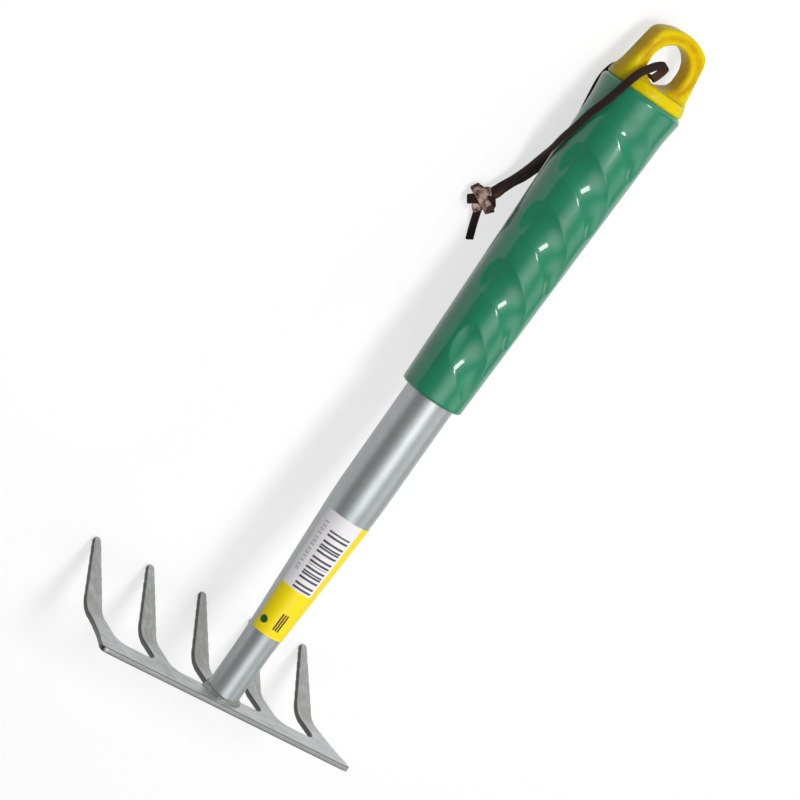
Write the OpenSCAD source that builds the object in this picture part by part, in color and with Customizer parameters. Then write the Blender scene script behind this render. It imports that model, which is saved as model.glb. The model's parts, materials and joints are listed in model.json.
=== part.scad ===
// Hand rake: a pressed steel head with five tines, welded to a swaged steel tube
// that carries a moulded grip, an end cap with a hanging loop and a leather lace.
// Each piece is drawn upright: X along the bar, Y the way the tines point and
// Z up the handle, with the origin on the bar's upper face at the tube's axis.
// place() then lays the rake down on its tine tips and the rim of its grip.

/* [Head] */
// Number of tines
tine_count = 5; // [3:2:7]
// Distance between neighbouring tines
tine_pitch = 28.4; // [24:0.2:36]
// Thickness of the pressed sheet
sheet_t = 2.5; // [1.5:0.1:4]
// From the handle axis to the near edge of the bar
bar_near = 13; // [12:0.2:20]
// From the handle axis to the floor of the gaps between tines
gap_floor = 1.8; // [-2:0.2:5]
// From the middle of the last tine to the end of the bar
bar_end = 8.8; // [7:0.2:14]
// Radius of the bar's two near corners
bar_corner = 3; // [1:0.5:6]
// Radius of the curve that widens the last tine into the bar's end
end_flare_r = 120; // [60:5:130]
// Width of a tine up to its bend
tine_w = 8.4; // [6:0.2:11]
// Width across the rounded tip of a tine
tip_w = 3.6; // [2.4:0.1:5.6]
// Radius in the corners of the gaps
gap_fillet = 6; // [2:0.5:7]
// From the handle axis to the start of the bend
bend_reach = 21; // [16:0.1:34]
// Inside radius of the bend
bend_r = 18; // [2:0.5:24]
// How far the tines are bent up towards the handle, in degrees
bend_angle = 31; // [15:1:45]
// Straight length of a tine past its bend
tine_l = 33.4; // [28:0.1:55]

/* [Tube] */
// Outside diameter of the tube in the grip
tube_d = 22; // [19:0.5:24]
// Outside diameter of the narrow end on the head
neck_d = 14.8; // [12:0.2:17]
// Wall of the tube
tube_wall = 1.5; // [1:0.1:2.5]
// Length of the narrow end
neck_l = 26; // [15:1:30]
// Length of the swaged cone
cone_l = 72; // [66:1:100]
// Length of the tube, from the head to its end inside the grip
tube_l = 280; // [240:1:290]

/* [Weld] */
// Height of the weld up the tube
weld_h = 3; // [1:0.2:5]
// Width of the weld on the bar
weld_leg = 3.4; // [1:0.2:4.4]

/* [Grip] */
// From the tube's upper end to the top of the grip
tube_in = 17.6; // [10:0.2:30]
// Length of the grip
grip_l = 147.2; // [136:0.2:170]
// Diameter at the lower end
grip_d = 28; // [27:0.2:32]
// Diameter below the flared rim
grip_top_d = 34.4; // [33:0.2:36]
// Diameter of the flared rim
rim_d = 37; // [36.4:0.2:42]
// Length of the flared rim
rim_l = 18; // [12:1:24]
// Rounding of the grip's two ends
grip_round = 2.4; // [1:0.2:3]
// Room between the grip and the tube
grip_fit = 0.15; // [0.05:0.05:0.4]
// Number of finger grooves
groove_count = 5; // [3:1:5]
// Distance between neighbouring grooves along the grip
groove_pitch = 27.6; // [24:0.2:29]
// From the grip's lower end to the first groove
groove_first = 25.6; // [20:0.2:30]
// Width of a groove, measured along the grip
groove_w = 16; // [10:0.5:20]
// Depth of a groove
groove_depth = 1.3; // [0.5:0.1:2]
// Slant of the grooves, in degrees
groove_slant = 45; // [0:1:50]

/* [End cap] */
// Diameter of the cap where it sits on the grip
cap_d = 34.6; // [32:0.2:36]
// Height of the solid collar under the loop
collar_h = 6.5; // [5:0.1:12]
// Thickness of the loop, front to back
loop_t = 9.4; // [6:0.2:14]
// Width of the hole
hole_w = 19.4; // [12:0.2:20]
// Height of the hole
hole_h = 17.4; // [12:0.2:24]
// Plastic over the hole
loop_crown = 5.1; // [3:0.1:9]
// Radius of the loop's top
crown_r = 21; // [18:0.5:30]
// Radius of the loop's two top corners
loop_corner = 4.5; // [1:0.5:6]
// How far each side of the loop leans in, in degrees
loop_lean = 11; // [4:1:12]
// Length of the spigot that plugs the tube
spigot_l = 34; // [25:1:50]
// Room between the spigot and the tube's bore
spigot_fit = 0.1; // [0.05:0.05:0.3]

/* [Label] */
// From the head to the lower edge of the sticker
label_start = 32.5; // [31:0.5:34]
// Height of the sticker
label_l = 58.5; // [40:0.5:60]
// Thickness of the sticker
label_t = 0.2; // [0.1:0.05:0.5]
// Thickness of the glue under it
label_glue = 0.05; // [0.02:0.01:0.1]
// How far the sticker wraps round the tube, in degrees
label_wrap = 190; // [120:5:300]
// Where its left edge lies, in degrees from the top of the tube
label_left = -80; // [-120:5:-40]

/* [Lace] */
// Width of the leather lace
lace_w = 3.4; // [2.5:0.1:4]
// Thickness of the lace
lace_t = 1.5; // [1.2:0.1:2.4]

/* [Hidden] */
$fn = 96;

// Head
last_tine = (tine_count - 1) / 2 * tine_pitch;
bar_half = last_tine + bar_end;
tip_r = tip_w / 2;
// Start of the straight part of a tine, on the upper face
bend_y = bend_reach + bend_r * sin(bend_angle);
bend_z = bend_r * (1 - cos(bend_angle));
// How far the bend runs on into the tine, in degrees, so that they are one solid
bend_seam = 0.1;

// Tube
tube_r = tube_d / 2;
neck_r = neck_d / 2;
bore_r = tube_r - tube_wall;
cone_end = neck_l + cone_l;
// Half angle of the swaged cone, and the shift that keeps its wall even
cone_half = atan((tube_r - neck_r) / cone_l);
wall_shift = tube_wall * tan(cone_half / 2);

// Grip
grip_end = tube_l + tube_in;
grip_start = grip_end - grip_l;
rim_r = rim_d / 2;
grip_bore_r = tube_r + grip_fit;
// How far a bore is cut past the end of its piece
bore_over = 1;
rim_z = grip_l - grip_round;
taper_l = grip_l - rim_l;
// Smooth band at the top, and the length over which the grooves run out under it
band_l = 9;
band_z = grip_l - band_l;
groove_fade = 8;
// Grooves are highest here, in degrees from the top of the grip
groove_high = -62;
// Angle of the middle of the top face at which groove_first is measured
groove_mid = -32;
// Where grooves begin and end; the first one is a short one
groove_from = [-33, -62];
groove_to = [8, 20];
groove_rise = (grip_d + grip_top_d) / 4 * tan(groove_slant);
// Length of a groove's rounded end
groove_end = 5;
grip_sides = 48;
grip_rings = 60;

// End cap
cap_r = cap_d / 2;
cap_h = collar_h + hole_h + loop_crown;
hole_r = hole_w / 2;
// Radius of the hole's lower corners
hole_corner = 5;
// The collar stops this far under the hole, with its edge cut by this much
shoulder_drop = 2;
collar_edge = 1.5;
shoulder_z = collar_h - shoulder_drop;
shoulder_r = 4;
// How much wider than the loop's sides the round of the collar is at the top
loop_relief = 1;
// Middle of the round at each top corner of the loop: it touches the leaning side and the crown
crown_z = cap_h - crown_r;
corner_out = cap_r * cos(loop_lean) - loop_corner - crown_z * sin(loop_lean);
corner_up = sqrt(pow(crown_r - loop_corner, 2) - pow(corner_out, 2));
corner_x = corner_out * cos(loop_lean) - corner_up * sin(loop_lean);
corner_z = crown_z + corner_out * sin(loop_lean) + corner_up * cos(loop_lean);
spigot_r = bore_r - spigot_fit;
spigot_wall = 2;

// The rake lies on the lower corners of its tine tips and on the grip's rim
tip_y = bend_y + tine_l * cos(bend_angle) + sheet_t * sin(bend_angle);
tip_z = bend_z + tine_l * sin(bend_angle) - sheet_t * cos(bend_angle);
drop = tip_y - rim_r + grip_round;
span = grip_start + rim_z - tip_z;
slope = acos(grip_round / norm([drop, span])) - atan2(span, drop);
floor_z = tip_y * cos(slope) + tip_z * sin(slope);
// Ends of the rake along the floor, so that the origin lies under its middle
head_end = bend_r * cos(slope) - bend_reach * sin(slope) - (bend_r + sheet_t);
loop_end = (grip_end + cap_h) * cos(slope) + loop_t / 2 * sin(slope);
mid_y = (head_end + loop_end) / 2;

// Lace as it lies: both strands run from the lower edge of the hole to the knot, the front one
// folded over and down the grip, and the back one along the floor
lace_front_path = [[0.5, 142.5, 15], [0.5, 145.5, 16.5], [0, 148, 18], [-1, 149.5, 19.5], [-2.5, 150, 20.5],
    [-4.5, 149.5, 21.5], [-7, 148, 22.5], [-9.5, 146.5, 24.5], [-13.5, 143, 27], [-16, 138.5, 29],
    [-16.5, 134.5, 28.5], [-17, 130, 28], [-17.5, 124, 26.5], [-18, 119, 25], [-18, 113.5, 23.5],
    [-18, 109.5, 22.5], [-18, 105.5, 21], [-18, 101.5, 20], [-17, 96.5, 17.5], [-16, 90.5, 14],
    [-15.5, 85, 11.5], [-15, 79.5, 8.5], [-16, 75, 7.5], [-17.5, 71, 7], [-18.5, 68.5, 7]];
lace_back_path = [[0.5, 142.5, 15], [0.5, 142, 11.5], [-0.5, 141.5, 8], [-3, 141, 4.5], [-6, 139, 2],
    [-8.5, 136, 0.9], [-9.5, 132, 0.8], [-9.5, 128, 0.8], [-8.5, 123, 0.8], [-7, 117, 0.8], [-5.5, 111, 0.8],
    [-4.5, 105, 0.8], [-4, 98, 0.8], [-4, 91, 0.8], [-5, 86.5, 0.8], [-6.5, 82, 0.8], [-8.5, 77.5, 1.3],
    [-11.5, 73.5, 2.5], [-14, 69.5, 4], [-15.5, 66.5, 5]];
lace_tail_path = [[-17, 56.5, 4], [-14.5, 52.5, 2.5], [-12, 48.5, 1.2], [-9.5, 44, 0.8]];
// Which way the flat of the lace faces, at some of the points of each path
lace_front_up = [[0, [0.3, 0.4, -0.9]], [2, [0.7, 0.5, -0.4]], [4, [0.3, 0.9, 0.2]], [6, [-0.2, 0.8, 0.6]],
    [10, [-0.8, 0, 0.5]], [18, [-1, 0, -0.1]], [24, [-0.9, 0, 0.4]]];
lace_back_up = [[0, [0.3, 0.4, -0.9]], [1, [0, 1, -0.1]], [3, [-0.2, 0.8, -0.6]], [6, [0, 0, -1]]];
lace_tail_up = [[0, [0, 0, 1]]];
// Cut of its corners
lace_edge = 0.4;
knot_at = [-20.5, 62, 6.2];
// Radius at which the lace winds round in the knot
knot_r = 4.3;

module place() {
    translate([0, -mid_y, floor_z]) rotate([-90 - slope, 0, 0]) children();
}

function tine_x(i) = -last_tine + i * tine_pitch;

// Head

// A gap between two tines, with rounded corners at its floor
module gap_outline() {
    gap_w = tine_pitch - tine_w;
    corner_x = gap_w / 2 - gap_fillet;
    for (side = [-1, 1]) translate([side * corner_x, gap_floor + gap_fillet]) circle(gap_fillet);
    translate([-corner_x, gap_floor]) square([2 * corner_x, gap_fillet]);
    translate([-gap_w / 2, gap_floor + gap_fillet]) square([gap_w, bend_reach]);
}

// Waste outside the last tine, cut on a curve
module end_outline() {
    flare_y = -bar_near + bar_corner + sqrt(pow(end_flare_r, 2) - pow(end_flare_r - bar_end + tine_w / 2, 2));
    side = last_tine + tine_w / 2;
    translate([side + end_flare_r, flare_y]) circle(end_flare_r, $fn = 192);
    translate([side, flare_y]) square([end_flare_r, bend_reach + bar_near]);
}

// Plan of the bar and the flat roots of its tines
module bar_outline() {
    difference() {
        union() {
            translate([-bar_half, -bar_near + bar_corner])
                square([2 * bar_half, bend_reach + bar_near - bar_corner]);
            translate([-bar_half + bar_corner, -bar_near]) square([2 * (bar_half - bar_corner), bar_corner]);
            for (side = [-1, 1])
                translate([side * (bar_half - bar_corner), -bar_near + bar_corner]) circle(bar_corner);
        }
        for (i = [0 : tine_count - 2]) translate([tine_x(i) + tine_pitch / 2, 0]) gap_outline();
        end_outline();
        mirror([1, 0]) end_outline();
    }
}

// Straight part of a tine: tapered, with a round tip
module tine_outline() {
    taper = asin((tine_w / 2 - tip_r) / (tine_l - tip_r));
    tip_x = tip_r * cos(taper);
    tip_edge = tine_l - tip_r + tip_r * sin(taper);
    polygon([[-tine_w / 2, 0], [tine_w / 2, 0], [tip_x, tip_edge], [-tip_x, tip_edge]]);
    translate([0, tine_l - tip_r]) circle(tip_r);
}

module rake_head() color("lightgray") place() {
    translate([0, 0, -sheet_t]) linear_extrude(sheet_t) bar_outline();
    for (i = [0 : tine_count - 1]) translate([tine_x(i), 0, 0]) {
        translate([0, bend_reach, bend_r]) rotate([0, 90, 0]) rotate_extrude(angle = bend_angle + bend_seam)
            translate([bend_r, -tine_w / 2]) square([sheet_t, tine_w]);
        translate([0, bend_y, bend_z]) rotate([bend_angle, 0, 0]) translate([0, 0, -sheet_t])
            linear_extrude(sheet_t) tine_outline();
    }
}

// Tube and weld

module handle_tube() color("silver") place() rotate_extrude() polygon([
    [neck_r - tube_wall, 0], [neck_r, 0], [neck_r, neck_l], [tube_r, cone_end], [tube_r, tube_l],
    [bore_r, tube_l], [bore_r, cone_end + wall_shift], [neck_r - tube_wall, neck_l + wall_shift]]);

// A fillet weld with a slightly full face, only where there is bar under it
module weld_bead() color("gray") place() intersection() {
    bulge = 0.6;
    rotate_extrude() polygon([[neck_r, 0], [neck_r + weld_leg, 0],
        [neck_r + bulge * weld_leg, bulge * weld_h], [neck_r, weld_h]]);
    linear_extrude(weld_h) bar_outline();
}

// Grip

// Radius of the grip without grooves, z up from its lower end
function sleeve_r(z) =
    let (taper = grip_d / 2 + (grip_top_d - grip_d) / 2 * min(z, taper_l) / taper_l,
         flare = z > taper_l ? (rim_r - grip_top_d / 2) * pow((min(z, rim_z) - taper_l) / (rim_z - taper_l), 2) : 0,
         low = max(0, grip_round - z),
         high = max(0, z - rim_z),
         edge = grip_round - sqrt(max(0, pow(grip_round, 2) - pow(max(low, high), 2))))
    taper + flare - edge;

// Middle of groove k at angle a, and the depth that one groove takes off there
function groove_z(k, a) =
    groove_first + k * groove_pitch + groove_rise * (cos(a - groove_high) - cos(groove_mid - groove_high));
function one_groove(k, a, z) =
    let (kind = min(k, 1),
         past = max(groove_from[kind] - a, a - groove_to[kind], 0),
         along = past * PI / 180 * sleeve_r(z) / groove_end,
         across = (z - groove_z(k, a)) / (groove_w / 2))
    groove_depth * max(0, 1 - along * along - across * across);
function groove(a, z) =
    let (left = max(0, min(1, (band_z - z) / groove_fade)))
    left * max([for (k = [0 : groove_count - 1]) one_groove(k, a, z)]);

// Heights of the rings: close together round the two ends
function ring_z(i) =
    let (ends = 4)
    i <= ends ? grip_round * (1 - cos(90 * i / ends)) :
    i >= grip_rings - ends ? grip_l - grip_round * (1 - cos(90 * (grip_rings - i) / ends)) :
    grip_round + (grip_l - 2 * grip_round) * (i - ends) / (grip_rings - 2 * ends);

module sleeve_skin() {
    rings = [for (i = [0 : grip_rings], s = [0 : grip_sides - 1])
        let (z = ring_z(i), a = 360 * s / grip_sides, turn = a > 180 ? a - 360 : a, r = sleeve_r(z) - groove(turn, z))
        [r * sin(turn), -r * cos(turn), z]];
    last = grip_rings * grip_sides;
    walls = [for (i = [0 : grip_rings - 1], s = [0 : grip_sides - 1])
        let (here = i * grip_sides + s, next = i * grip_sides + (s + 1) % grip_sides)
        each [[here, here + grip_sides, next], [next, here + grip_sides, next + grip_sides]]];
    ends = [[for (s = [0 : grip_sides - 1]) s], [for (s = [grip_sides - 1 : -1 : 0]) last + s]];
    polyhedron(rings, concat(walls, ends));
}

module grip_sleeve() color("seagreen") place() translate([0, 0, grip_start]) difference() {
    sleeve_skin();
    translate([0, 0, -bore_over]) cylinder(r = grip_bore_r, h = grip_l + 2 * bore_over);
}

// End cap

// Front view of the cap and its loop: leaning sides, round top corners and an arched crown
module loop_outline() {
    side = [corner_x + loop_corner * cos(loop_lean), corner_z + loop_corner * sin(loop_lean)];
    wing = [corner_x, corner_z - crown_z] * 2;
    polygon([[-cap_r, 0], [cap_r, 0], side, [corner_x, corner_z], [-corner_x, corner_z], [-side[0], side[1]]]);
    for (way = [-1, 1]) translate([way * corner_x, corner_z]) circle(loop_corner);
    translate([0, crown_z]) intersection() {
        circle(crown_r);
        polygon([[0, 0], wing, [-wing[0], wing[1]]]);
    }
}

// Side view: a round collar that sinks into the thin loop
module loop_side() {
    half = loop_t / 2;
    fillet = [for (a = [0 : 15 : 90]) [half + shoulder_r * (1 - sin(a)), shoulder_z + shoulder_r * (1 - cos(a))]];
    collar = [[cap_r, 0], [cap_r, shoulder_z - collar_edge], [cap_r - collar_edge, shoulder_z]];
    right = concat(collar, fillet, [[half, cap_h]]);
    left = [for (i = [len(right) - 1 : -1 : 0]) [-right[i][0], right[i][1]]];
    polygon(concat(right, left));
}

// The hole: a round arch with rounded lower corners
module hole_outline() {
    arch_z = collar_h + hole_h - hole_r;
    corner_x = hole_r - hole_corner;
    translate([0, arch_z]) circle(hole_r);
    for (side = [-1, 1]) translate([side * corner_x, collar_h + hole_corner]) circle(hole_corner);
    translate([-corner_x, collar_h]) square([2 * corner_x, hole_corner]);
}

module end_cap() color("gold") place() translate([0, 0, grip_end]) {
    difference() {
        intersection() {
            cylinder(r1 = cap_r, r2 = cap_r - cap_h * tan(loop_lean) + loop_relief, h = cap_h);
            rotate([90, 0, 0]) linear_extrude(cap_d, center = true) loop_outline();
            rotate([90, 0, 90]) linear_extrude(cap_d, center = true) loop_side();
        }
        rotate([90, 0, 0]) linear_extrude(cap_d, center = true) hole_outline();
    }
    translate([0, 0, -spigot_l]) difference() {
        cylinder(r = spigot_r, h = spigot_l);
        translate([0, 0, -bore_over]) cylinder(r = spigot_r - spigot_wall, h = spigot_l + bore_over);
    }
}

// Label

module tube_label() color("yellow") place() {
    low = neck_r + label_glue + (label_start - neck_l) / cone_l * (tube_r - neck_r);
    high = neck_r + label_glue + (label_start + label_l - neck_l) / cone_l * (tube_r - neck_r);
    rotate([0, 0, -90 + label_left]) rotate_extrude(angle = label_wrap)
        polygon([[low, label_start], [low + label_t, label_start],
            [high + label_t, label_start + label_l], [high, label_start + label_l]]);
}

// Lace

// A flat lace with cut corners, swept along a list of points. Its flat turns between the ways
// given for some of the points.
module lace(path, facing) {
    sides = 8;
    count = len(path);
    wide = lace_w / 2;
    thick = lace_t / 2;
    section = [[wide, thick - lace_edge], [wide - lace_edge, thick], [lace_edge - wide, thick],
        [-wide, thick - lace_edge], [-wide, lace_edge - thick], [lace_edge - wide, -thick],
        [wide - lace_edge, -thick], [wide, lace_edge - thick]];
    function way(i) = path[min(i + 1, count - 1)] - path[max(i - 1, 0)];
    function face(i) = [for (c = [0 : 2]) lookup(i, [for (f = facing) [f[0], f[1][c]]])];
    function ring(i) =
        let (w = way(i) / norm(way(i)),
             u = cross(w, face(i)),
             across = u / norm(u),
             up = cross(across, w))
        [for (p = section) path[i] + p[0] * across + p[1] * up];
    points = [for (i = [0 : count - 1]) each ring(i)];
    walls = [for (i = [0 : count - 2], s = [0 : sides - 1])
        let (here = i * sides + s, next = i * sides + (s + 1) % sides)
        each [[here, here + sides, next], [next, here + sides, next + sides]]];
    ends = [[for (s = [0 : sides - 1]) s], [for (s = [sides - 1 : -1 : 0]) (count - 1) * sides + s]];
    polyhedron(points, concat(walls, ends));
}

module lace_front() color("saddlebrown") lace(lace_front_path, lace_front_up);
module lace_back() color("saddlebrown") lace(lace_back_path, lace_back_up);
module lace_tail() color("saddlebrown") lace(lace_tail_path, lace_tail_up);

// The knot: three turns of the lace round a tight core
module lace_knot() color("tan") translate(knot_at) {
    sphere(knot_r, $fn = 32);
    for (turn = [[0, 0, 0], [80, 0, 25], [75, 0, 115]])
        rotate(turn) rotate_extrude($fn = 32) translate([knot_r, 0]) circle(lace_w / 2, $fn = 16);
}

rake_head();
handle_tube();
weld_bead();
grip_sleeve();
end_cap();
tube_label();
lace_front();
lace_back();
lace_knot();
lace_tail();
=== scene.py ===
# Hand rake: a pressed steel head on a swaged steel tube with a moulded grip, an end cap
# and a leather lace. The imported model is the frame, in metres, and each piece is dressed on it.
import json
import math
import bmesh
import bpy
from mathutils import Matrix, Vector


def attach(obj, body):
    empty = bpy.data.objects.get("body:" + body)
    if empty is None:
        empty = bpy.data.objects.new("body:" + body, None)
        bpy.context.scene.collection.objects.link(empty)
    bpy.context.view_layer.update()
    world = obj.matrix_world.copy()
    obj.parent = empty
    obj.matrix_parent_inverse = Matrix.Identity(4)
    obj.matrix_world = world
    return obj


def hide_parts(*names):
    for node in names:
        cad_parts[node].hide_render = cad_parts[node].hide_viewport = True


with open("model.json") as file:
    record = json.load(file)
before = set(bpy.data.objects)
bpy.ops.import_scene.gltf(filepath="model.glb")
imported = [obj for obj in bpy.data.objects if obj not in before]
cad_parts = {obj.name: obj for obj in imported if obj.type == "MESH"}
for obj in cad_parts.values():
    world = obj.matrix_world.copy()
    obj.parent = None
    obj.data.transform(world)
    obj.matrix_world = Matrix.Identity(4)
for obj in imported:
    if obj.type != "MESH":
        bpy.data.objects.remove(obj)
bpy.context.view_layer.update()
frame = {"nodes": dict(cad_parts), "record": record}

MM = 0.001


# Rake head: a bar and five tines pressed from one 2.5 mm steel sheet, with the tines bent up
# towards the handle. The press rounds its edges, and silver lacquer covers it after welding.
head_grain = 0.4 * MM
head_rounds = 12
head_pale = "#ccd1d2"
head_dull = "#a0a29d"
# Painted shade on the bar's up-facing front wall and on the side walls, and a painted dark
# reflection along the bar's front edge
head_front_shade = "#a9aca9"
head_dark_reflection = "#4b4c48"
head_wall_shade = "#55534e"
head_metal = 0.65
head_satin = (0.3, 0.5)
head_relief = 0.08 * MM
head_cloud = 6 * MM
head_grit = 0.5 * MM
roll_l = 14 * MM
roll_w = 1.6 * MM
tine_grain_l = 22 * MM
tine_grain_w = 1.7 * MM
tine_root = 8 * MM
tine_start = 24 * MM
edge_front = -12 * MM
edge_back = -10 * MM
cloud_share = 1.5
cloud_high = 4
pale_from, pale_to = 0.66, 1.48
line_from, line_to = -0.2, -0.36
edge_from, edge_to = -0.66, -0.82
wall_from, wall_to = 0.5, 0.75
merge_gap = 0.002 * MM


def linear(colour):
    """A hex sRGB colour as linear RGBA."""
    parts = [int(colour[i:i + 2], 16) / 255 for i in (1, 3, 5)]
    return [p / 12.92 if p <= 0.04045 else ((p + 0.055) / 1.055) ** 2.4 for p in parts] + [1]


def add(tree, kind, settings=None, links=None):
    """A new node with its properties or sockets set, and its inputs linked."""
    node = tree.nodes.new(kind)
    for key, value in (settings or {}).items():
        if isinstance(key, str) and hasattr(node, key):
            setattr(node, key, value)
        else:
            node.inputs[key].default_value = value
    for key, source in (links or {}).items():
        tree.links.new(source, node.inputs[key])
    return node


def new_finish(name, settings):
    """A named material with its shader's constants set."""
    finish = bpy.data.materials.new(name)
    finish.use_nodes = True
    shader = finish.node_tree.nodes["Principled BSDF"]
    for key, value in settings.items():
        shader.inputs[key].default_value = value
    return finish, finish.node_tree, shader


def new_piece(name, bm, finish, node):
    """A smooth shaded piece that stands for a CAD node and rides with the rake."""
    mesh = bpy.data.meshes.new(name)
    bm.to_mesh(mesh)
    bm.free()
    mesh.materials.append(finish)
    mesh.shade_smooth()
    piece = bpy.data.objects.new(name, mesh)
    bpy.context.scene.collection.objects.link(piece)
    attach(piece, "root")
    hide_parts(node)
    return piece


def softened(name, node, finish, grain, rounds):
    """A CAD node's shape in an even fine mesh, with its sharp edges worn round."""
    bm = bmesh.new()
    bm.from_mesh(frame["nodes"][node].data)
    bmesh.ops.remove_doubles(bm, verts=bm.verts, dist=merge_gap)
    piece = new_piece(name, bm, finish, node)
    even = piece.modifiers.new("even_mesh", "REMESH")
    even.voxel_size = grain
    even.use_smooth_shade = True
    piece.modifiers.new("round_edges", "SMOOTH").iterations = rounds
    return piece


# The handle's own frame: X along the bar, Y the way the tines point, Z up the handle
clip = next(m for m in frame["record"]["mounts"] if m["name"] == "shaft_clip")
clip_up = 124.2 * MM
up = Vector(clip["axis"]).normalized()
side = Vector((1, 0, 0))
foot = Vector(clip["pos_m"]) - clip_up * up
handle = Matrix((side, up.cross(side), up)).transposed().to_4x4()
handle.translation = foot
slope = math.atan2(-up.z, up.y)

# Silver lacquer on pressed sheet: satin and cloudy, streaked along the bar, and grained lengthwise
# on the tines. The bar is painted paler than the tines, as painted light on its face. The side
# walls are darkened as painted shade, the bar's up-facing front wall is painted darker against the
# light that falls on it, and a dark line along its rolled front edge is a painted reflection.
head_silver, tree, shader = new_finish("silver_lacquered_pressed_steel", {"Metallic": head_metal})
place = add(tree, "ShaderNodeTexCoord").outputs
cloud = add(tree, "ShaderNodeTexNoise", {"Scale": 1 / head_cloud, "Detail": 4},
            {"Vector": place["Object"]})
rolled = add(tree, "ShaderNodeMapping",
             {"vector_type": "TEXTURE", "Scale": (roll_l, roll_w, roll_w)},
             {"Vector": place["Object"]})
rolled = add(tree, "ShaderNodeTexNoise", {"Scale": 1, "Detail": 3}, {"Vector": rolled.outputs[0]})
down = add(tree, "ShaderNodeMapping",
           {"vector_type": "TEXTURE", "Location": foot, "Rotation": handle.to_euler()},
           {"Vector": place["Object"]})
down = add(tree, "ShaderNodeSeparateXYZ", None, {"Vector": down.outputs[0]})
on_bar = add(tree, "ShaderNodeMapRange", {"From Min": tine_start, "From Max": tine_root},
             {"Value": down.outputs["Y"]})
# Painted light: besides streaking the bar, the rolled streaks lift it paler overall than the tines
streak = add(tree, "ShaderNodeMath", {"operation": "MULTIPLY"},
             {0: on_bar.outputs[0], 1: rolled.outputs["Fac"]})
drawn = add(tree, "ShaderNodeMapping",
            {"vector_type": "TEXTURE", "Scale": (tine_grain_w, tine_grain_w, tine_grain_l)},
            {"Vector": place["Object"]})
drawn = add(tree, "ShaderNodeTexNoise", {"Scale": 1, "Detail": 3}, {"Vector": drawn.outputs[0]})
cloud = add(tree, "ShaderNodeMix", None,
            {0: on_bar.outputs[0], 2: drawn.outputs["Fac"], 3: cloud.outputs["Fac"]})
mixed = add(tree, "ShaderNodeMath", {"operation": "MULTIPLY_ADD", 1: cloud_share},
            {0: cloud.outputs[0], 2: streak.outputs[0]})
mixed = add(tree, "ShaderNodeMapRange", {"From Min": pale_from, "From Max": pale_to},
            {"Value": mixed.outputs[0]})
tone = add(tree, "ShaderNodeMix", {"data_type": "RGBA", 6: linear(head_dull), 7: linear(head_pale)},
           {0: mixed.outputs[0]})
# Painted reflection and painted shade: a dark line on the bar's rounded front edge, a darker
# up-facing front wall, and darker side walls
front = add(tree, "ShaderNodeVectorMath", {"operation": "DOT_PRODUCT", 1: up.cross(side)},
            {0: place["Normal"]})
near = add(tree, "ShaderNodeMapRange", {"From Min": edge_back, "From Max": edge_front},
           {"Value": down.outputs["Y"]})
front = add(tree, "ShaderNodeMath", {"operation": "MULTIPLY"},
            {0: front.outputs["Value"], 1: near.outputs[0]})
line = add(tree, "ShaderNodeMapRange", {"From Min": line_from, "From Max": line_to},
           {"Value": front.outputs[0]})
edge = add(tree, "ShaderNodeMapRange", {"From Min": edge_from, "From Max": edge_to},
           {"Value": front.outputs[0]})
beside = add(tree, "ShaderNodeVectorMath", {"operation": "DOT_PRODUCT", 1: side},
             {0: place["Normal"]})
beside = add(tree, "ShaderNodeMath", {"operation": "ABSOLUTE"}, {0: beside.outputs["Value"]})
wall = add(tree, "ShaderNodeMapRange", {"From Min": wall_from, "From Max": wall_to},
           {"Value": beside.outputs[0]})
coat = tone
for mask, colour in [(line, head_dark_reflection), (edge, head_front_shade), (wall, head_wall_shade)]:
    coat = add(tree, "ShaderNodeMix", {"data_type": "RGBA", 7: linear(colour)},
               {0: mask.outputs[0], 6: coat.outputs[2]})
grit = add(tree, "ShaderNodeTexNoise", {"Scale": 1 / head_grit, "Detail": 2},
           {"Vector": place["Object"]})
uneven = add(tree, "ShaderNodeMath", {"operation": "MULTIPLY_ADD", 1: cloud_high},
             {0: cloud.outputs[0], 2: grit.outputs["Fac"]})
satin = add(tree, "ShaderNodeMapRange", {"To Min": head_satin[0], "To Max": head_satin[1]},
            {"Value": cloud.outputs[0]})
relief = add(tree, "ShaderNodeBump", {"Strength": 0.3, "Distance": head_relief},
             {"Height": uneven.outputs[0]})
tree.links.new(coat.outputs[2], shader.inputs["Base Color"])
tree.links.new(satin.outputs[0], shader.inputs["Roughness"])
tree.links.new(relief.outputs[0], shader.inputs["Normal"])

softened("pressed_rake_head", "rake_head", head_silver, head_grain, head_rounds)


# Handle tube: a drawn steel tube, swaged down to a narrow neck that stands on the bar. It is
# lacquered like the head, and drawing leaves faint streaks along it. Its upper end is in the grip.
tube_r = 11 * MM
neck_r = 7.4 * MM
tube_wall = 1.5 * MM
neck_l = 26 * MM
cone_end = 98 * MM
tube_l = 280 * MM
swage_soft = 7 * MM
tube_sides = 96
tube_pale = "#b8bec0"
tube_dull = "#a8acad"
streak_w = 0.9 * MM
streak_l = 60 * MM
tube_metal = 0.62
tube_satin = (0.34, 0.46)
tube_relief = 0.03 * MM
sharp_turn = math.radians(40)


def turned(points, steps, soft=(), soft_r=0, soft_steps=4):
    """A closed outline of (radius, height) points, spun round the handle's axis.

    The points numbered in soft have their corners rounded."""
    bm = bmesh.new()
    outline = [bm.verts.new((r, 0, z)) for r, z in points]
    for i, vert in enumerate(outline):
        bm.edges.new((vert, outline[(i + 1) % len(outline)]))
    if soft:
        bmesh.ops.bevel(bm, geom=[outline[i] for i in soft], offset=soft_r, offset_type="OFFSET",
                        segments=soft_steps, profile=0.5, affect="VERTICES", material=-1)
    bmesh.ops.spin(bm, geom=bm.verts[:] + bm.edges[:], cent=(0, 0, 0), axis=(0, 0, 1),
                   angle=2 * math.pi, steps=steps, use_merge=True)
    bmesh.ops.remove_doubles(bm, verts=bm.verts, dist=merge_gap)
    bmesh.ops.recalc_face_normals(bm, faces=bm.faces)
    return bm


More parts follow.
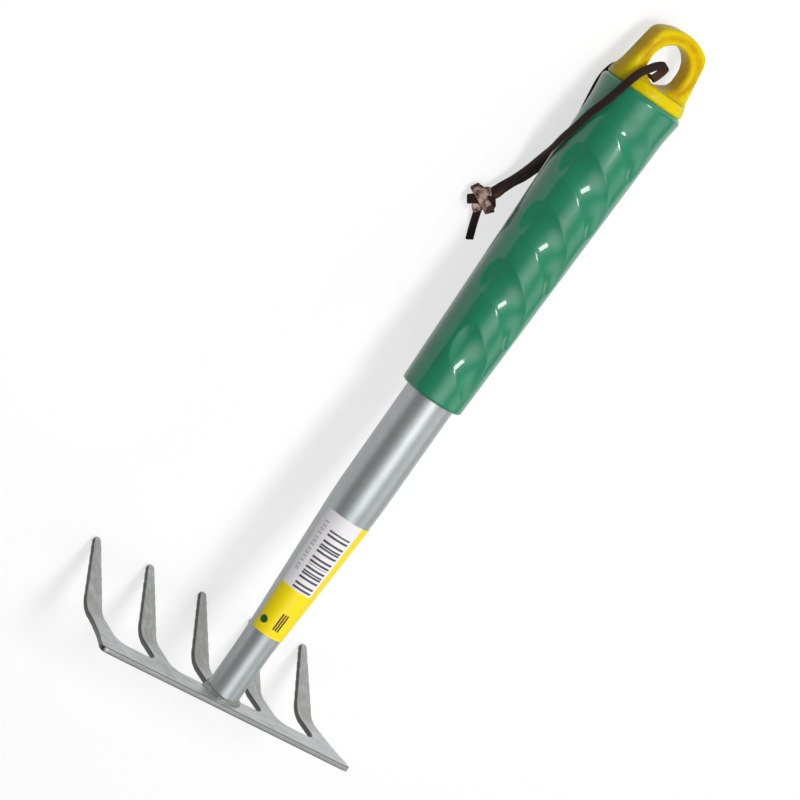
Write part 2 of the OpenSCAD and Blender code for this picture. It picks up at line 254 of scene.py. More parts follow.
# Silver lacquer on drawn tube: satin, with fine brighter and duller streaks along the tube, drawn
# coarser than the real ones, which are too fine to show.
tube_silver, tree, shader = new_finish("silver_lacquered_drawn_tube", {"Metallic": tube_metal})
place = add(tree, "ShaderNodeTexCoord").outputs["Object"]
along = add(tree, "ShaderNodeMapping", {"vector_type": "TEXTURE", "Rotation": (-slope, 0, 0),
                                        "Scale": (streak_w, streak_l, streak_w)}, {"Vector": place})
streak = add(tree, "ShaderNodeTexNoise", {"Scale": 1, "Detail": 3}, {"Vector": along.outputs[0]})
cloud = add(tree, "ShaderNodeTexNoise", {"Scale": 1 / head_cloud, "Detail": 3}, {"Vector": place})
tone = add(tree, "ShaderNodeMix", {"data_type": "RGBA", 6: linear(tube_dull), 7: linear(tube_pale)},
           {0: cloud.outputs["Fac"]})
polish = add(tree, "ShaderNodeMapRange", {"To Min": tube_satin[0], "To Max": tube_satin[1]},
             {"Value": streak.outputs["Fac"]})
relief = add(tree, "ShaderNodeBump", {"Strength": 0.05, "Distance": tube_relief},
             {"Height": streak.outputs["Fac"]})
tree.links.new(tone.outputs[2], shader.inputs["Base Color"])
tree.links.new(polish.outputs[0], shader.inputs["Roughness"])
tree.links.new(relief.outputs[0], shader.inputs["Normal"])

bm = turned([(neck_r - tube_wall, 0), (neck_r, 0), (neck_r, neck_l), (tube_r, cone_end),
             (tube_r, tube_l), (tube_r - tube_wall, tube_l), (tube_r - tube_wall, cone_end),
             (neck_r - tube_wall, neck_l)],
            tube_sides, soft=(2, 3), soft_r=swage_soft)
bmesh.ops.transform(bm, matrix=handle, verts=bm.verts)
tube = new_piece("swaged_handle_tube", bm, tube_silver, "handle_tube")
tube.data.set_sharp_from_angle(angle=sharp_turn)


# Weld bead: the fillet weld that joins the tube to the bar, run by hand in small overlapping
# puddles and lacquered over with the rest.
weld_tone = "#a2a6a0"
weld_crease_shade = "#6b7068"
weld_grain = 0.3 * MM
weld_rounds = 26
weld_sink = 1.2 * MM
weld_full = 0.5
puddle = 2.2 * MM
puddle_high = 0.6 * MM
puddle_mid = 0.6
puddle_relief = 0.3 * MM
weld_touch = 0.1 * MM
weld_satin = 0.45

# Lacquered weld metal: lumpy, duller than the sheet beside it, with painted shade in the creases
# between its puddles.
weld_silver, tree, shader = new_finish("silver_lacquered_weld",
                                       {"Metallic": head_metal, "Roughness": weld_satin})
place = add(tree, "ShaderNodeTexCoord").outputs["Object"]
lumps = add(tree, "ShaderNodeTexVoronoi", {"feature": "SMOOTH_F1", "Scale": 1 / puddle},
            {"Vector": place})
# Painted shade: darker in the creases between the puddles
tone = add(tree, "ShaderNodeMix", {"data_type": "RGBA", 6: linear(weld_tone), 7: linear(weld_crease_shade)},
           {0: lumps.outputs["Distance"]})
relief = add(tree, "ShaderNodeBump", {"invert": True, "Strength": 0.5, "Distance": puddle_relief},
             {"Height": lumps.outputs["Distance"]})
tree.links.new(tone.outputs[2], shader.inputs["Base Color"])
tree.links.new(relief.outputs[0], shader.inputs["Normal"])

weld = softened("hand_run_weld", "weld_bead", weld_silver, weld_grain, weld_rounds)
# Its inner and lower faces sink into the tube and the bar, and it is lower in front
to_handle = handle.inverted()
for vert in weld.data.vertices:
    spot = to_handle @ vert.co
    if spot.z < weld_touch:
        spot.z = -weld_sink
    out = spot.xy.length - neck_r
    full = weld_full + (1 - weld_full) * (1 + spot.y / spot.xy.length) / 2
    if out < weld_touch:
        spot.xy *= (neck_r - weld_sink) / spot.xy.length
    else:
        spot.xy *= (neck_r + out * full) / spot.xy.length
    if spot.z > 0:
        spot.z *= full
    vert.co = handle @ spot
puddles = bpy.data.textures.new("weld_puddles", "CLOUDS")
puddles.noise_scale = puddle
lumpy = weld.modifiers.new("puddles", "DISPLACE")
lumpy.texture = puddles
lumpy.texture_coords = "LOCAL"
lumpy.mid_level = puddle_mid
lumpy.strength = puddle_high


# Sticker: a printed plastic film glued round the swaged cone. On its yellow ground are a white
# panel with plain stripes, one green dot and three plain lines.
label_low = 32.5 * MM
label_l = 58.5 * MM
label_t = 0.2 * MM
label_glue = 0.05 * MM
label_left = math.radians(-80)
label_wrap = math.radians(190)
label_steps = 96
label_slack = 0.01
label_yellow = "#ffe600"
label_white = "#f1eff2"
label_ink = "#4a4650"
label_faint = "#b9b5c0"
label_brown = "#4c3014"
label_green = "#1d5a34"
# Places on the film, in shares of its width and height, and stripes as waves and their level
panel_right, panel_low = 0.516, 0.385
bar_wide, bar_tall, bar_waves = (0.19, 0.48), (0.4, 0.88), (37, 23, 0.1)
tick_wide, tick_tall, tick_waves = (0.07, 0.13), (0.5, 0.93), (53, 31, 0.2)
dot_at, dot_per = (0.12, 0.09, 0), (15.4, 34, 0)
lines_at, line_w, line_tall = (0.318, 0.358, 0.398), 0.027, (0.06, 0.2)


def cone_r(height):
    """Radius of the swaged cone at a height on the handle."""
    return neck_r + (tube_r - neck_r) * (height - neck_l) / (cone_end - neck_l)


# Printed film: smooth and slightly glossy, its colours laid out on its own flat width and height.
film, tree, shader = new_finish("printed_vinyl_film", {"Roughness": 0.38, "IOR": 1.45})
flat = add(tree, "ShaderNodeUVMap", {"uv_map": "flat"}).outputs[0]
axes = add(tree, "ShaderNodeSeparateXYZ", None, {"Vector": flat})


def between(value, low, high):
    """1 where a value lies between two limits."""
    over = add(tree, "ShaderNodeMath", {"operation": "GREATER_THAN", 1: low}, {0: value})
    under = add(tree, "ShaderNodeMath", {"operation": "LESS_THAN", 1: high}, {0: value})
    return add(tree, "ShaderNodeMath", {"operation": "MULTIPLY"},
               {0: over.outputs[0], 1: under.outputs[0]}).outputs[0]


def both(one, two):
    """1 where two masks are both 1."""
    return add(tree, "ShaderNodeMath", {"operation": "MULTIPLY"}, {0: one, 1: two}).outputs[0]


def print_over(ground, colour, mask):
    """A colour printed over the ground where a mask is 1."""
    return add(tree, "ShaderNodeMix", {"data_type": "RGBA", 7: linear(colour)},
               {0: mask, 6: ground}).outputs[2]


def stripes(value, one, two, level):
    """Plain stripes of uneven width, where two waves of so many turns beat together."""
    waves = []
    for turns in (one, two):
        phase = add(tree, "ShaderNodeMath", {"operation": "MULTIPLY", 1: 2 * math.pi * turns},
                    {0: value})
        waves.append(add(tree, "ShaderNodeMath", {"operation": "SINE"},
                         {0: phase.outputs[0]}).outputs[0])
    beat = add(tree, "ShaderNodeMath", {"operation": "ADD"}, {0: waves[0], 1: waves[1]})
    return add(tree, "ShaderNodeMath", {"operation": "GREATER_THAN", 1: level},
               {0: beat.outputs[0]}).outputs[0]


wide, tall = axes.outputs["X"], axes.outputs["Y"]
white_panel = both(between(wide, -1, panel_right), between(tall, panel_low, 2))
bars = both(stripes(tall, *bar_waves), both(between(wide, *bar_wide), between(tall, *bar_tall)))
ticks = both(stripes(tall, *tick_waves), both(between(wide, *tick_wide), between(tall, *tick_tall)))
reach = add(tree, "ShaderNodeVectorMath", {"operation": "SUBTRACT", 1: dot_at}, {0: flat})
reach = add(tree, "ShaderNodeVectorMath", {"operation": "MULTIPLY", 1: dot_per},
            {0: reach.outputs[0]})
reach = add(tree, "ShaderNodeVectorMath", {"operation": "LENGTH"}, {0: reach.outputs[0]})
dot = between(reach.outputs["Value"], -1, 1)
ground = add(tree, "ShaderNodeMix",
             {"data_type": "RGBA", 6: linear(label_yellow), 7: linear(label_white)},
             {0: white_panel}).outputs[2]
for colour, mask in [(label_ink, bars), (label_faint, ticks), (label_green, dot)]:
    ground = print_over(ground, colour, mask)
for line_at in lines_at:
    mask = both(between(wide, line_at, line_at + line_w), between(tall, *line_tall))
    ground = print_over(ground, label_brown, mask)
tree.links.new(ground, shader.inputs["Base Color"])

bm = bmesh.new()
label_top = label_low + label_l
corners = [(cone_r(z) + label_glue + t, z) for z, t in
           [(label_low, 0), (label_low, label_t), (label_top, label_t), (label_top, 0)]]
start = label_left - math.pi / 2
outline = [bm.verts.new((r * math.cos(start), r * math.sin(start), z)) for r, z in corners]
for i, vert in enumerate(outline):
    bm.edges.new((vert, outline[(i + 1) % len(outline)]))
bmesh.ops.spin(bm, geom=bm.verts[:] + bm.edges[:], cent=(0, 0, 0), axis=(0, 0, 1), angle=label_wrap,
               steps=label_steps)
bmesh.ops.remove_doubles(bm, verts=bm.verts, dist=merge_gap)
bmesh.ops.holes_fill(bm, edges=[e for e in bm.edges if e.is_boundary], sides=4)
bmesh.ops.recalc_face_normals(bm, faces=bm.faces)
flat_map = bm.loops.layers.uv.new("flat")
for face in bm.faces:
    for loop in face.loops:
        turn = math.atan2(loop.vert.co.x, -loop.vert.co.y)
        turn = turn + 2 * math.pi if turn < label_left - label_slack else turn
        loop[flat_map].uv = ((turn - label_left) / label_wrap,
                             (loop.vert.co.z - label_low) / label_l)
bmesh.ops.transform(bm, matrix=handle, verts=bm.verts)
label = new_piece("printed_sticker", bm, film, "tube_label")
label.data.set_sharp_from_angle(angle=sharp_turn)


# Grip: a soft PVC sleeve, injection moulded and pushed over the tube, with five slanted finger
# grooves across its upper side and a flared rim against the cap.
grip_low = 150.4 * MM
grip_l = 147.2 * MM
grip_r = 14 * MM
grip_top_r = 17.2 * MM
rim_r = 18.5 * MM
rim_l = 18 * MM
grip_round = 2.4 * MM
low_round = 1.2 * MM
grip_bore_r = 11.15 * MM
groove_count = 5
groove_pitch = 27.6 * MM
groove_first = 25.6 * MM
groove_half = [9.4 * MM, 8 * MM]
groove_depth = 1.3 * MM
groove_slant = math.radians(45)
groove_high = math.radians(-62)
groove_mid = math.radians(-32)
groove_from = [math.radians(-36), math.radians(-62)]
groove_to = [math.radians(8), math.radians(20)]
groove_end = 5 * MM
groove_soft = 0.0018
band_z = 138.2 * MM
groove_fade = 8 * MM
grip_sides = 200
grip_rings = 430
grip_green = "#228b66"
grip_deep = "#1a7957"
peel = 1.2 * MM
peel_relief = 0.05 * MM
grip_cloud = 9 * MM
grip_satin = (0.34, 0.44)
grip_sharp = math.radians(60)
round_steps = 8

rim_z = grip_l - grip_round
taper_l = grip_l - rim_l
groove_rise = (grip_r + grip_top_r) / 2 * math.tan(groove_slant)


def sleeve_r(z):
    """Radius of the grip without its grooves."""
    taper = grip_r + (grip_top_r - grip_r) * min(z, taper_l) / taper_l
    flare = (rim_r - grip_top_r) * (max(0, min(z, rim_z) - taper_l) / (rim_z - taper_l)) ** 2
    edges = 0
    for edge, past in [(low_round, low_round - z), (grip_round, z - rim_z)]:
        edges += edge - math.sqrt(max(0, edge ** 2 - max(0, past) ** 2))
    return taper + flare - edges


def groove(turn, z):
    """Depth of the finger grooves at an angle from the top and a height up the grip."""
    deepest = 0
    for k in range(groove_count):
        kind = min(k, 1)
        past = max(groove_from[kind] - turn, turn - groove_to[kind], 0)
        middle = groove_first + k * groove_pitch + groove_rise * (
            math.cos(turn - groove_high) - math.cos(groove_mid - groove_high))
        inside = (1 - (past * sleeve_r(z) / groove_end) ** 2
                  - ((z - middle) / groove_half[kind]) ** 2)
        if inside > -1:
            soft = (inside + math.sqrt(inside ** 2 + groove_soft)) / 2
            deepest = max(deepest, groove_depth * soft)
    return deepest * max(0, min(1, (band_z - z) / groove_fade))


# Moulded soft PVC: an even green, satin with a faint orange peel, under a thin gloss that gives
# small bright spots.
pvc, tree, shader = new_finish("moulded_soft_pvc", {
    "IOR": 1.45, "Specular IOR Level": 0.36, "Coat Weight": 0.62, "Coat Roughness": 0.08,
    "Coat IOR": 1.5})
place = add(tree, "ShaderNodeTexCoord").outputs["Object"]
cloud = add(tree, "ShaderNodeTexNoise", {"Scale": 1 / grip_cloud, "Detail": 3}, {"Vector": place})
tone = add(tree, "ShaderNodeMix",
           {"data_type": "RGBA", 6: linear(grip_deep), 7: linear(grip_green)},
           {0: cloud.outputs["Fac"]})
skin = add(tree, "ShaderNodeTexNoise", {"Scale": 1 / peel, "Detail": 2}, {"Vector": place})
gloss = add(tree, "ShaderNodeMapRange", {"To Min": grip_satin[0], "To Max": grip_satin[1]},
            {"Value": skin.outputs["Fac"]})
relief = add(tree, "ShaderNodeBump", {"Strength": 0.06, "Distance": peel_relief},
             {"Height": skin.outputs["Fac"]})
tree.links.new(tone.outputs[2], shader.inputs["Base Color"])
tree.links.new(gloss.outputs[0], shader.inputs["Roughness"])
tree.links.new(relief.outputs[0], shader.inputs["Normal"])

heights = [low_round * (1 - math.cos(math.pi / 2 * i / round_steps)) for i in range(round_steps)]
heights += [low_round + (rim_z - low_round) * i / grip_rings for i in range(grip_rings)]
heights += [grip_l - grip_round * (1 - math.cos(math.pi / 2 * i / round_steps))
            for i in range(round_steps, -1, -1)]
bm = turned([(sleeve_r(z), z) for z in heights] + [(grip_bore_r, grip_l), (grip_bore_r, 0)],
            grip_sides)
for vert in bm.verts:
    radius = math.hypot(vert.co.x, vert.co.y)
    if radius > grip_bore_r + merge_gap:
        depth = groove(math.atan2(vert.co.x, -vert.co.y), vert.co.z)
        vert.co.xy *= (radius - depth) / radius
bmesh.ops.transform(bm, matrix=handle @ Matrix.Translation((0, 0, grip_low)), verts=bm.verts)
grip = new_piece("moulded_grip", bm, pvc, "grip_sleeve")
grip.data.set_sharp_from_angle(angle=grip_sharp)


# End cap: a polyethylene plug with a flat hanging loop, moulded in one piece. Its spigot is
# pushed into the tube and its collar sits on the grip's rim.
cap_grain = 0.4 * MM
cap_rounds = 64
cap_swell = 0.45 * MM
cap_yellow = "#e3c900"
cap_amber_shade = "#c99a00"
hole_half_w = 9.7 * MM
hole_half_h = 8.7 * MM
hole_mid = 312.8 * MM
cap_cloud = 7 * MM
cap_satin = (0.26, 0.42)
# Where the painted amber shade starts and ends round the hole, and above the collar, in shares of
# the hole
amber_start, amber_end, amber_low, amber_patch = (1.02, 1.3), (1.6, 1.3), (-1.3, -0.8), (0.2, 0.6)

# Moulded polyethylene: waxy, strong yellow, with a soft gloss. An amber band painted along the
# middle of the loop's face, clear yellow at its edges and collar, is painted shade across the
# rounded limb.
polythene, tree, shader = new_finish("moulded_polyethylene", {
    "IOR": 1.51, "Specular IOR Level": 0.12, "Subsurface Weight": 0.85,
    "Subsurface Radius": (1, 0.75, 0.05), "Subsurface Scale": 7 * MM})
place = add(tree, "ShaderNodeTexCoord").outputs["Object"]
cloud = add(tree, "ShaderNodeTexNoise", {"Scale": 1 / cap_cloud, "Detail": 3}, {"Vector": place})
ring = add(tree, "ShaderNodeMapping", {
    "vector_type": "TEXTURE", "Location": handle @ Vector((0, 0, hole_mid)),
    "Rotation": handle.to_euler(), "Scale": (hole_half_w, 1, hole_half_h)}, {"Vector": place})
rise = add(tree, "ShaderNodeSeparateXYZ", None, {"Vector": ring.outputs[0]})
ring = add(tree, "ShaderNodeVectorMath", {"operation": "LENGTH"}, {0: ring.outputs[0]})
amber_shade = None
for value, (low, high) in [(ring.outputs["Value"], amber_start), (ring.outputs["Value"], amber_end),
                           (rise.outputs["Z"], amber_low), (cloud.outputs["Fac"], amber_patch)]:
    fade = add(tree, "ShaderNodeMapRange", {
        "interpolation_type": "SMOOTHSTEP", "From Min": low, "From Max": high}, {"Value": value})
    if amber_shade:
        fade = add(tree, "ShaderNodeMath", {"operation": "MULTIPLY"},
                   {0: amber_shade.outputs[0], 1: fade.outputs[0]})
    amber_shade = fade
# Painted shade: amber across the middle of the loop's face
tone = add(tree, "ShaderNodeMix",
           {"data_type": "RGBA", 6: linear(cap_yellow), 7: linear(cap_amber_shade)},
           {0: amber_shade.outputs[0]})
skin = add(tree, "ShaderNodeTexNoise", {"Scale": 1 / peel, "Detail": 2}, {"Vector": place})
gloss = add(tree, "ShaderNodeMapRange", {"To Min": cap_satin[0], "To Max": cap_satin[1]},
            {"Value": skin.outputs["Fac"]})
relief = add(tree, "ShaderNodeBump", {"Strength": 0.08, "Distance": peel_relief},
             {"Height": skin.outputs["Fac"]})
tree.links.new(tone.outputs[2], shader.inputs["Base Color"])
tree.links.new(gloss.outputs[0], shader.inputs["Roughness"])
tree.links.new(relief.outputs[0], shader.inputs["Normal"])

cap = softened("loop_end_cap", "end_cap", polythene, cap_grain, cap_rounds)
full = cap.modifiers.new("full_size", "DISPLACE")
full.mid_level = 0
full.strength = cap_swell


# Lace: one strip of cut leather, 3.4 by 1.5 mm, passed through the loop and knotted. The front
# strand comes down over the grip and the back strand along the floor, to the same knot.
lace_w = 3.4 * MM
lace_t = 1.5 * MM
front_route = [(0.5, 142.5, 15), (0.5, 145.5, 16.5), (0, 148, 18), (-1, 149.5, 19.5),
               (-2.5, 150, 20.5), (-4.5, 149.5, 21.5), (-7, 148, 22.5), (-9.5, 146.5, 24.5),
               (-13.5, 143, 27), (-16, 138.5, 29), (-16.5, 134.5, 28.5), (-17, 130, 28),
               (-17.5, 124, 26.5), (-18, 119, 25), (-18, 113.5, 23.5), (-18, 109.5, 22.5),
               (-18, 105.5, 21), (-18, 101.5, 20), (-17, 96.5, 17.5), (-16, 90.5, 14),
               (-15.5, 85, 11.5), (-15, 79.5, 8.5), (-16, 75, 7.5), (-17.5, 71, 7),
               (-18.5, 68.5, 7), (-19.5, 65.5, 6.5)]
back_route = [(0.5, 142.5, 15), (0.5, 142, 11.5), (-0.5, 141.5, 8), (-3, 141, 4.5), (-6, 139, 2),
              (-8.5, 136, 0.9), (-9.5, 132, 0.8), (-9.5, 128, 0.8), (-8.5, 123, 0.8),
              (-7, 117, 0.8), (-5.5, 111, 0.8), (-4.5, 105, 0.8), (-4, 98, 0.8), (-4, 91, 0.8),
              (-5, 86.5, 0.8), (-6.5, 82, 0.8), (-8.5, 77.5, 1.3), (-11.5, 73.5, 2.5),
              (-14, 69.5, 4), (-15.5, 66.5, 5), (-17.5, 64.5, 5.5)]
tail_route = [(-19, 60.2, 5.6), (-17, 56.5, 4), (-14.5, 52.5, 2.5), (-12, 48.5, 1.2),
              (-9.5, 44, 0.8)]
front_grain = [(0, (0.3, 0.4, -0.9)), (2, (0.7, 0.5, -0.4)), (4, (0.3, 0.9, 0.2)),
               (6, (-0.2, 0.8, 0.6)), (10, (-0.8, 0, 0.5)), (18, (-1, 0, -0.1)),
               (24, (-0.9, 0, 0.4))]
back_grain = [(0, (0.3, 0.4, -0.9)), (1, (0, 1, -0.1)), (3, (-0.2, 0.8, -0.6)), (6, (0, 0, -1))]
tail_grain = [(0, (0, 0, 1))]
lace_fine = 6
lace_corner = 0.55 * MM
leather_grain = 0.9 * MM
leather_relief = 0.15 * MM
suede_span = (0.5, 0.92)
leather_dark = "#170d0a"
leather_warm = "#33201a"
suede_brown = "#574035"


def eased(route, fine):
    """A smooth line through a route's points in millimetres, in metres."""
    points = [Vector(p) * MM for p in route]
    points = [2 * points[0] - points[1]] + points + [2 * points[-1] - points[-2]]
    line = []
    for a, b, c, d in zip(points, points[1:], points[2:], points[3:]):
        for i in range(fine):
            t = i / fine
            line.append((2 * b + (c - a) * t + (2 * a - 5 * b + 4 * c - d) * t ** 2
                         + (3 * b - a - 3 * c + d) * t ** 3) / 2)
    return line + [points[-2]]


def faced(keys, count):
    """The way the grain side faces at each step of a line, from keys at points of its route."""
    ways = []
    for (a, one), (b, two) in zip(keys, keys[1:] + [(count, keys[-1][1])]):
        ways += [Vector(one).lerp(Vector(two), i / lace_fine / (b - a))
                 for i in range((b - a) * lace_fine)]
    return ways[:count]


def strap(line, grain_ways, width=lace_w):
    """A flat leather strip with rounded corners, swept along a line.

    Its UV map runs round its section and along its length."""
    section = []
    for x, y, first in [(1, 1, 0), (-1, 1, 90), (-1, -1, 180), (1, -1, 270)]:
        for step in (0, 45, 90):
            a = math.radians(first + step)
            section.append((x * (width / 2 - lace_corner) + lace_corner * math.cos(a),
                            y * (lace_t / 2 - lace_corner) + lace_corner * math.sin(a)))
    bm = bmesh.new()
    run = bm.loops.layers.uv.new("run")
    rings = []
    for i, point in enumerate(line):
        way = (line[min(i + 1, len(line) - 1)] - line[max(i - 1, 0)]).normalized()
        across = way.cross(grain_ways[i]).normalized()
        rise = across.cross(way)
        rings.append([bm.verts.new(point + x * across + y * rise) for x, y in section])
    count = len(section)
    for i in range(len(rings) - 1):
        for s in range(count):
            n = (s + 1) % count
            face = bm.faces.new((rings[i][s], rings[i][n], rings[i + 1][n], rings[i + 1][s]))
            corners = [(i, s), (i, s + 1), (i + 1, s + 1), (i + 1, s)]
            for loop, (row, col) in zip(face.loops, corners):
                loop[run].uv = (col / count, row / len(rings))
    bm.faces.new(list(reversed(rings[0])))
    bm.faces.new(rings[-1])
    bmesh.ops.recalc_face_normals(bm, faces=bm.faces)
    return bm


# Cut leather: dark grain above, paler fuzzy suede on the lower flat and the cut edges.
leather, tree, shader = new_finish("cut_oiled_leather", {"Roughness": 0.75, "IOR": 1.35})
place = add(tree, "ShaderNodeTexCoord").outputs["Object"]
run = add(tree, "ShaderNodeUVMap", {"uv_map": "run"}).outputs[0]
grain = add(tree, "ShaderNodeTexNoise", {"Scale": 1 / leather_grain, "Detail": 5},
            {"Vector": place})
tone = add(tree, "ShaderNodeMix",
           {"data_type": "RGBA", 6: linear(leather_dark), 7: linear(leather_warm)},
           {0: grain.outputs["Fac"]})
round_way = add(tree, "ShaderNodeSeparateXYZ", None, {"Vector": run})
under = between(round_way.outputs["X"], *suede_span)
coat = add(tree, "ShaderNodeMix", {"data_type": "RGBA", 7: linear(suede_brown)},
           {0: under, 6: tone.outputs[2]})
relief = add(tree, "ShaderNodeBump", {"Strength": 0.5, "Distance": leather_relief},
             {"Height": grain.outputs["Fac"]})
tree.links.new(coat.outputs[2], shader.inputs["Base Color"])
tree.links.new(relief.outputs[0], shader.inputs["Normal"])

front_line = eased(front_route, lace_fine)
back_line = eased(back_route, lace_fine)
tail_line = eased(tail_route, lace_fine)
front = new_piece("lace_front_strand", strap(front_line, faced(front_grain, len(front_line))),
                  leather, "lace_front")
back = new_piece("lace_back_strand", strap(back_line, faced(back_grain, len(back_line))), leather,
                 "lace_back")
tail = new_piece("lace_tail_end", strap(tail_line, faced(tail_grain, len(tail_line))), leather,
                 "lace_tail")

# Knot: both ends of the lace drawn into one tight knot. The lace goes round it once with its
# grain outside, then twists over and crosses it with its suede outside.
knot_at = Vector((-20.5, 62, 6.2)) * MM
knot_side = Vector((0.736, 0.619, 0.276))
knot_rise = Vector((-0.435, 0.744, -0.507))
knot_lie = Matrix((knot_side, knot_rise, knot_side.cross(knot_rise))).transposed()
knot_w = 4 * MM
suede_tan = "#cdada2"
suede_shade = "#4a3228"
suede_patch = 2.2 * MM
suede_fade = -0.12 / MM
suede_from, suede_to = -0.2, 0.08
knot_relief = 0.2 * MM
knot_route = [(2.5, 2, -1.2), (0.5, 1.2, -1.9), (-3, 0.2, -1.6), (-5.2, -0.2, 0.2),
              (-3, -0.2, 1.9), (0, -0.6, 2.2), (3, -1, 1.8), (5, -1.4, 0), (4, -3, -1.8),
              (3.4, -4.4, -1.8), (3, -5.2, 0.2), (1.8, -3, 2.8), (0, 0, 3.7), (-1.6, 2.8, 2.6),
              (-2.6, 4.9, 0.4), (-1.4, 4, -2), (1, 2.6, -1.6), (3.4, 2.4, 0.6), (2.2, 2.6, 2.4),
              (-0.6, 1.2, 1.6), (-2, -2.6, 0.4), (-1.4, -5, -0.6)]
knot_grain = [(0, (0, 0, -1)), (2, (0, 0, -1)), (3, (-1, 0, 0)), (4, (0, 0, 1)), (6, (0, 0, 1)),
              (7, (1, 0, 0)), (8, (0.8, 0, -0.6)), (9, (0.3, 0.2, 0.8)), (10, (-0.4, 0.8, 0)),
              (11, (0, 0.3, -1)), (13, (0, -0.3, -1)), (14, (0.4, -0.8, -0.2)), (15, (0, 0, 1)),
              (16, (0, 0.2, 1)), (17, (-1, 0, 0.2)), (18, (0, -0.4, -1)), (19, (0, 0, -1)),
              (21, (0, 0, -1))]

# Knot leather: the same strip, with its suede pale tan in uneven patches near the knot's middle and
# dark brown further out.
knot_leather, tree, shader = new_finish("knotted_leather", {"Roughness": 0.8, "IOR": 1.35})
place = add(tree, "ShaderNodeTexCoord").outputs["Object"]
run = add(tree, "ShaderNodeUVMap", {"uv_map": "run"}).outputs[0]
grain = add(tree, "ShaderNodeTexNoise", {"Scale": 1 / leather_grain, "Detail": 5},
            {"Vector": place})
pale_share = add(tree, "ShaderNodeTexNoise", {"Scale": 1 / suede_patch, "Detail": 3}, {"Vector": place})
out = add(tree, "ShaderNodeVectorMath", {"operation": "DISTANCE", 1: knot_at}, {0: place})
out = add(tree, "ShaderNodeMath", {"operation": "MULTIPLY_ADD", 1: suede_fade},
          {0: out.outputs["Value"], 2: pale_share.outputs["Fac"]})
pale_share = add(tree, "ShaderNodeMapRange", {"From Min": suede_from, "From Max": suede_to},
          {"Value": out.outputs[0]})
tone = add(tree, "ShaderNodeMix",
           {"data_type": "RGBA", 6: linear(leather_dark), 7: linear(leather_warm)},
           {0: grain.outputs["Fac"]})
# Pale tan near the knot's middle, dark brown further out, in uneven patches
suede = add(tree, "ShaderNodeMix",
            {"data_type": "RGBA", 6: linear(suede_shade), 7: linear(suede_tan)},
            {0: pale_share.outputs[0]})
round_way = add(tree, "ShaderNodeSeparateXYZ", None, {"Vector": run})
coat = add(tree, "ShaderNodeMix", {"data_type": "RGBA"},
           {0: between(round_way.outputs["X"], *suede_span), 6: tone.outputs[2],
            7: suede.outputs[2]})
relief = add(tree, "ShaderNodeBump", {"Strength": 0.6, "Distance": knot_relief},
             {"Height": grain.outputs["Fac"]})
tree.links.new(coat.outputs[2], shader.inputs["Base Color"])
tree.links.new(relief.outputs[0], shader.inputs["Normal"])

knot_line = [knot_at + knot_lie @ p for p in eased(knot_route, lace_fine)]
knot_ways = [knot_lie @ way for way in faced(knot_grain, len(knot_line))]
knot = new_piece("lace_knot_body", strap(knot_line, knot_ways, knot_w), knot_leather,
                 "lace_knot")


# Studio: a plain white floor, a small soft box over the grip, a broad panel above, a side panel, a
# white card at the head's end, and a dim even room round them.
floor_half = 3.0
floor_white = "#9e9e9e"
floor_dim = "#9a9a9a"
floor_lift = 0.67
box_far = 1.3
room_grey = 0.11
glow_edge, glow_full = 0.5, 0.05

bm = bmesh.new()
bmesh.ops.create_grid(bm, x_segments=1, y_segments=1, size=floor_half)
mesh = bpy.data.meshes.new("studio_floor")
bm.to_mesh(mesh)
bm.free()
# Studio paper: white to the eye and in reflections, and greyer for the light it throws back.
paper, tree, shader = new_finish("white_studio_paper",
                                 {"Roughness": 0.9, "Emission Color": (1, 1, 1, 1)})
rays = add(tree, "ShaderNodeLightPath").outputs
seen = add(tree, "ShaderNodeMath", {"operation": "MAXIMUM"},
           {0: rays["Is Camera Ray"], 1: rays["Is Glossy Ray"]})
seen = add(tree, "ShaderNodeMath", {"operation": "MAXIMUM"},
           {0: seen.outputs[0], 1: rays["Is Transmission Ray"]})
tone = add(tree, "ShaderNodeMix",
           {"data_type": "RGBA", 6: linear(floor_dim), 7: linear(floor_white)},
           {0: seen.outputs[0]})
lift = add(tree, "ShaderNodeMath", {"operation": "MULTIPLY", 1: floor_lift}, {0: seen.outputs[0]})
tree.links.new(tone.outputs[2], shader.inputs["Base Color"])
tree.links.new(lift.outputs[0], shader.inputs["Emission Strength"])
mesh.materials.append(paper)
floor = bpy.data.objects.new("studio_floor", mesh)
bpy.context.scene.collection.objects.link(floor)


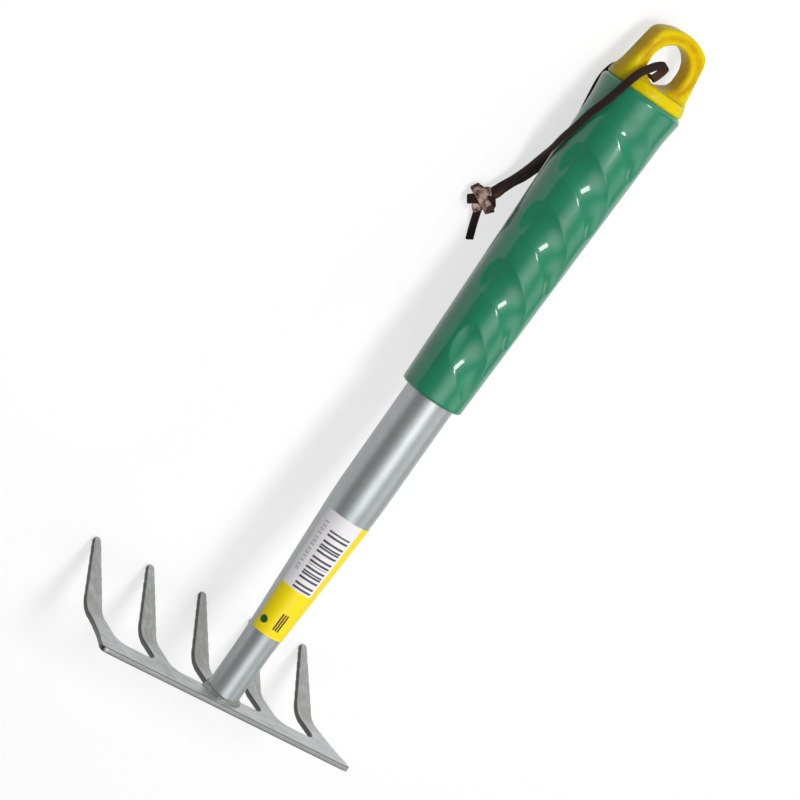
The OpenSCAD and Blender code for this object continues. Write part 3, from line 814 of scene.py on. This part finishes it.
def soft_box(name, aim_up, turn, lean, size, power, fades=False):
    """An area lamp over a height on the handle, turned and leant from straight above.

    A lamp that fades is brightest in its middle."""
    turn, lean = math.radians(turn), math.radians(lean)
    back_way = Vector((math.sin(turn) * math.cos(lean), -math.cos(turn) * math.cos(lean),
                       math.sin(lean)))
    right_way = Vector((0, 0, 1)).cross(back_way).normalized()
    pose = Matrix((right_way, back_way.cross(right_way), back_way)).transposed().to_4x4()
    pose.translation = Vector((0, 0, aim_up)) + box_far * back_way
    lamp = bpy.data.lights.new(name, "AREA")
    lamp.shape = "RECTANGLE"
    lamp.size, lamp.size_y = size
    lamp.energy = power
    if fades:
        lamp.use_nodes = True
        tree = lamp.node_tree
        spot = add(tree, "ShaderNodeNewGeometry").outputs["Parametric"]
        reach = add(tree, "ShaderNodeVectorMath", {"operation": "DISTANCE", 1: (0.5, 0.5, 0)},
                    {0: spot})
        glow = add(tree, "ShaderNodeMapRange", {
            "interpolation_type": "SMOOTHSTEP", "From Min": glow_edge, "From Max": glow_full},
            {"Value": reach.outputs["Value"]})
        tree.links.new(glow.outputs[0], tree.nodes["Emission"].inputs["Strength"])
    box = bpy.data.objects.new(name, lamp)
    box.matrix_world = handle @ pose
    bpy.context.scene.collection.objects.link(box)


soft_box("small_soft_box", aim_up=224 * MM, turn=-3, lean=9, size=(0.27, 0.45), power=9.6)
soft_box("broad_panel", aim_up=150 * MM, turn=-7, lean=-16, size=(1.8, 1.3), power=18, fades=True)
soft_box("side_panel", aim_up=150 * MM, turn=55, lean=-8, size=(1.5, 1.5), power=11, fades=True)
soft_box("white_card", aim_up=0, turn=40, lean=55, size=(1.4, 1.0), power=4)

world = bpy.data.worlds.new("dim_room")
world.use_nodes = True
room_light = world.node_tree.nodes["Background"].inputs["Color"]
room_light.default_value = (room_grey, room_grey, room_grey, 1)
bpy.context.scene.world = world

# Camera: the photograph's pinhole in the handle's frame, worked out from the tube, the grip and
# the tine tips.
lens_mm = 132.07
sensor_mm = 36
camera_at = Vector((-0.62258, -0.99585, 0.29392))
camera_right = Vector((0.73566, -0.36509, 0.57054))
camera_up = Vector((-0.43527, 0.39057, 0.81117))
lens = bpy.data.cameras.new("camera")
lens.sensor_width = sensor_mm
lens.lens = lens_mm
camera = bpy.data.objects.new("camera", lens)
camera.matrix_world = handle @ Matrix.Translation(camera_at) @ Matrix(
    (camera_right, camera_up, camera_right.cross(camera_up))).transposed().to_4x4()
bpy.context.scene.collection.objects.link(camera)
bpy.context.scene.camera = camera
bpy.context.scene.view_settings.view_transform = "Standard"
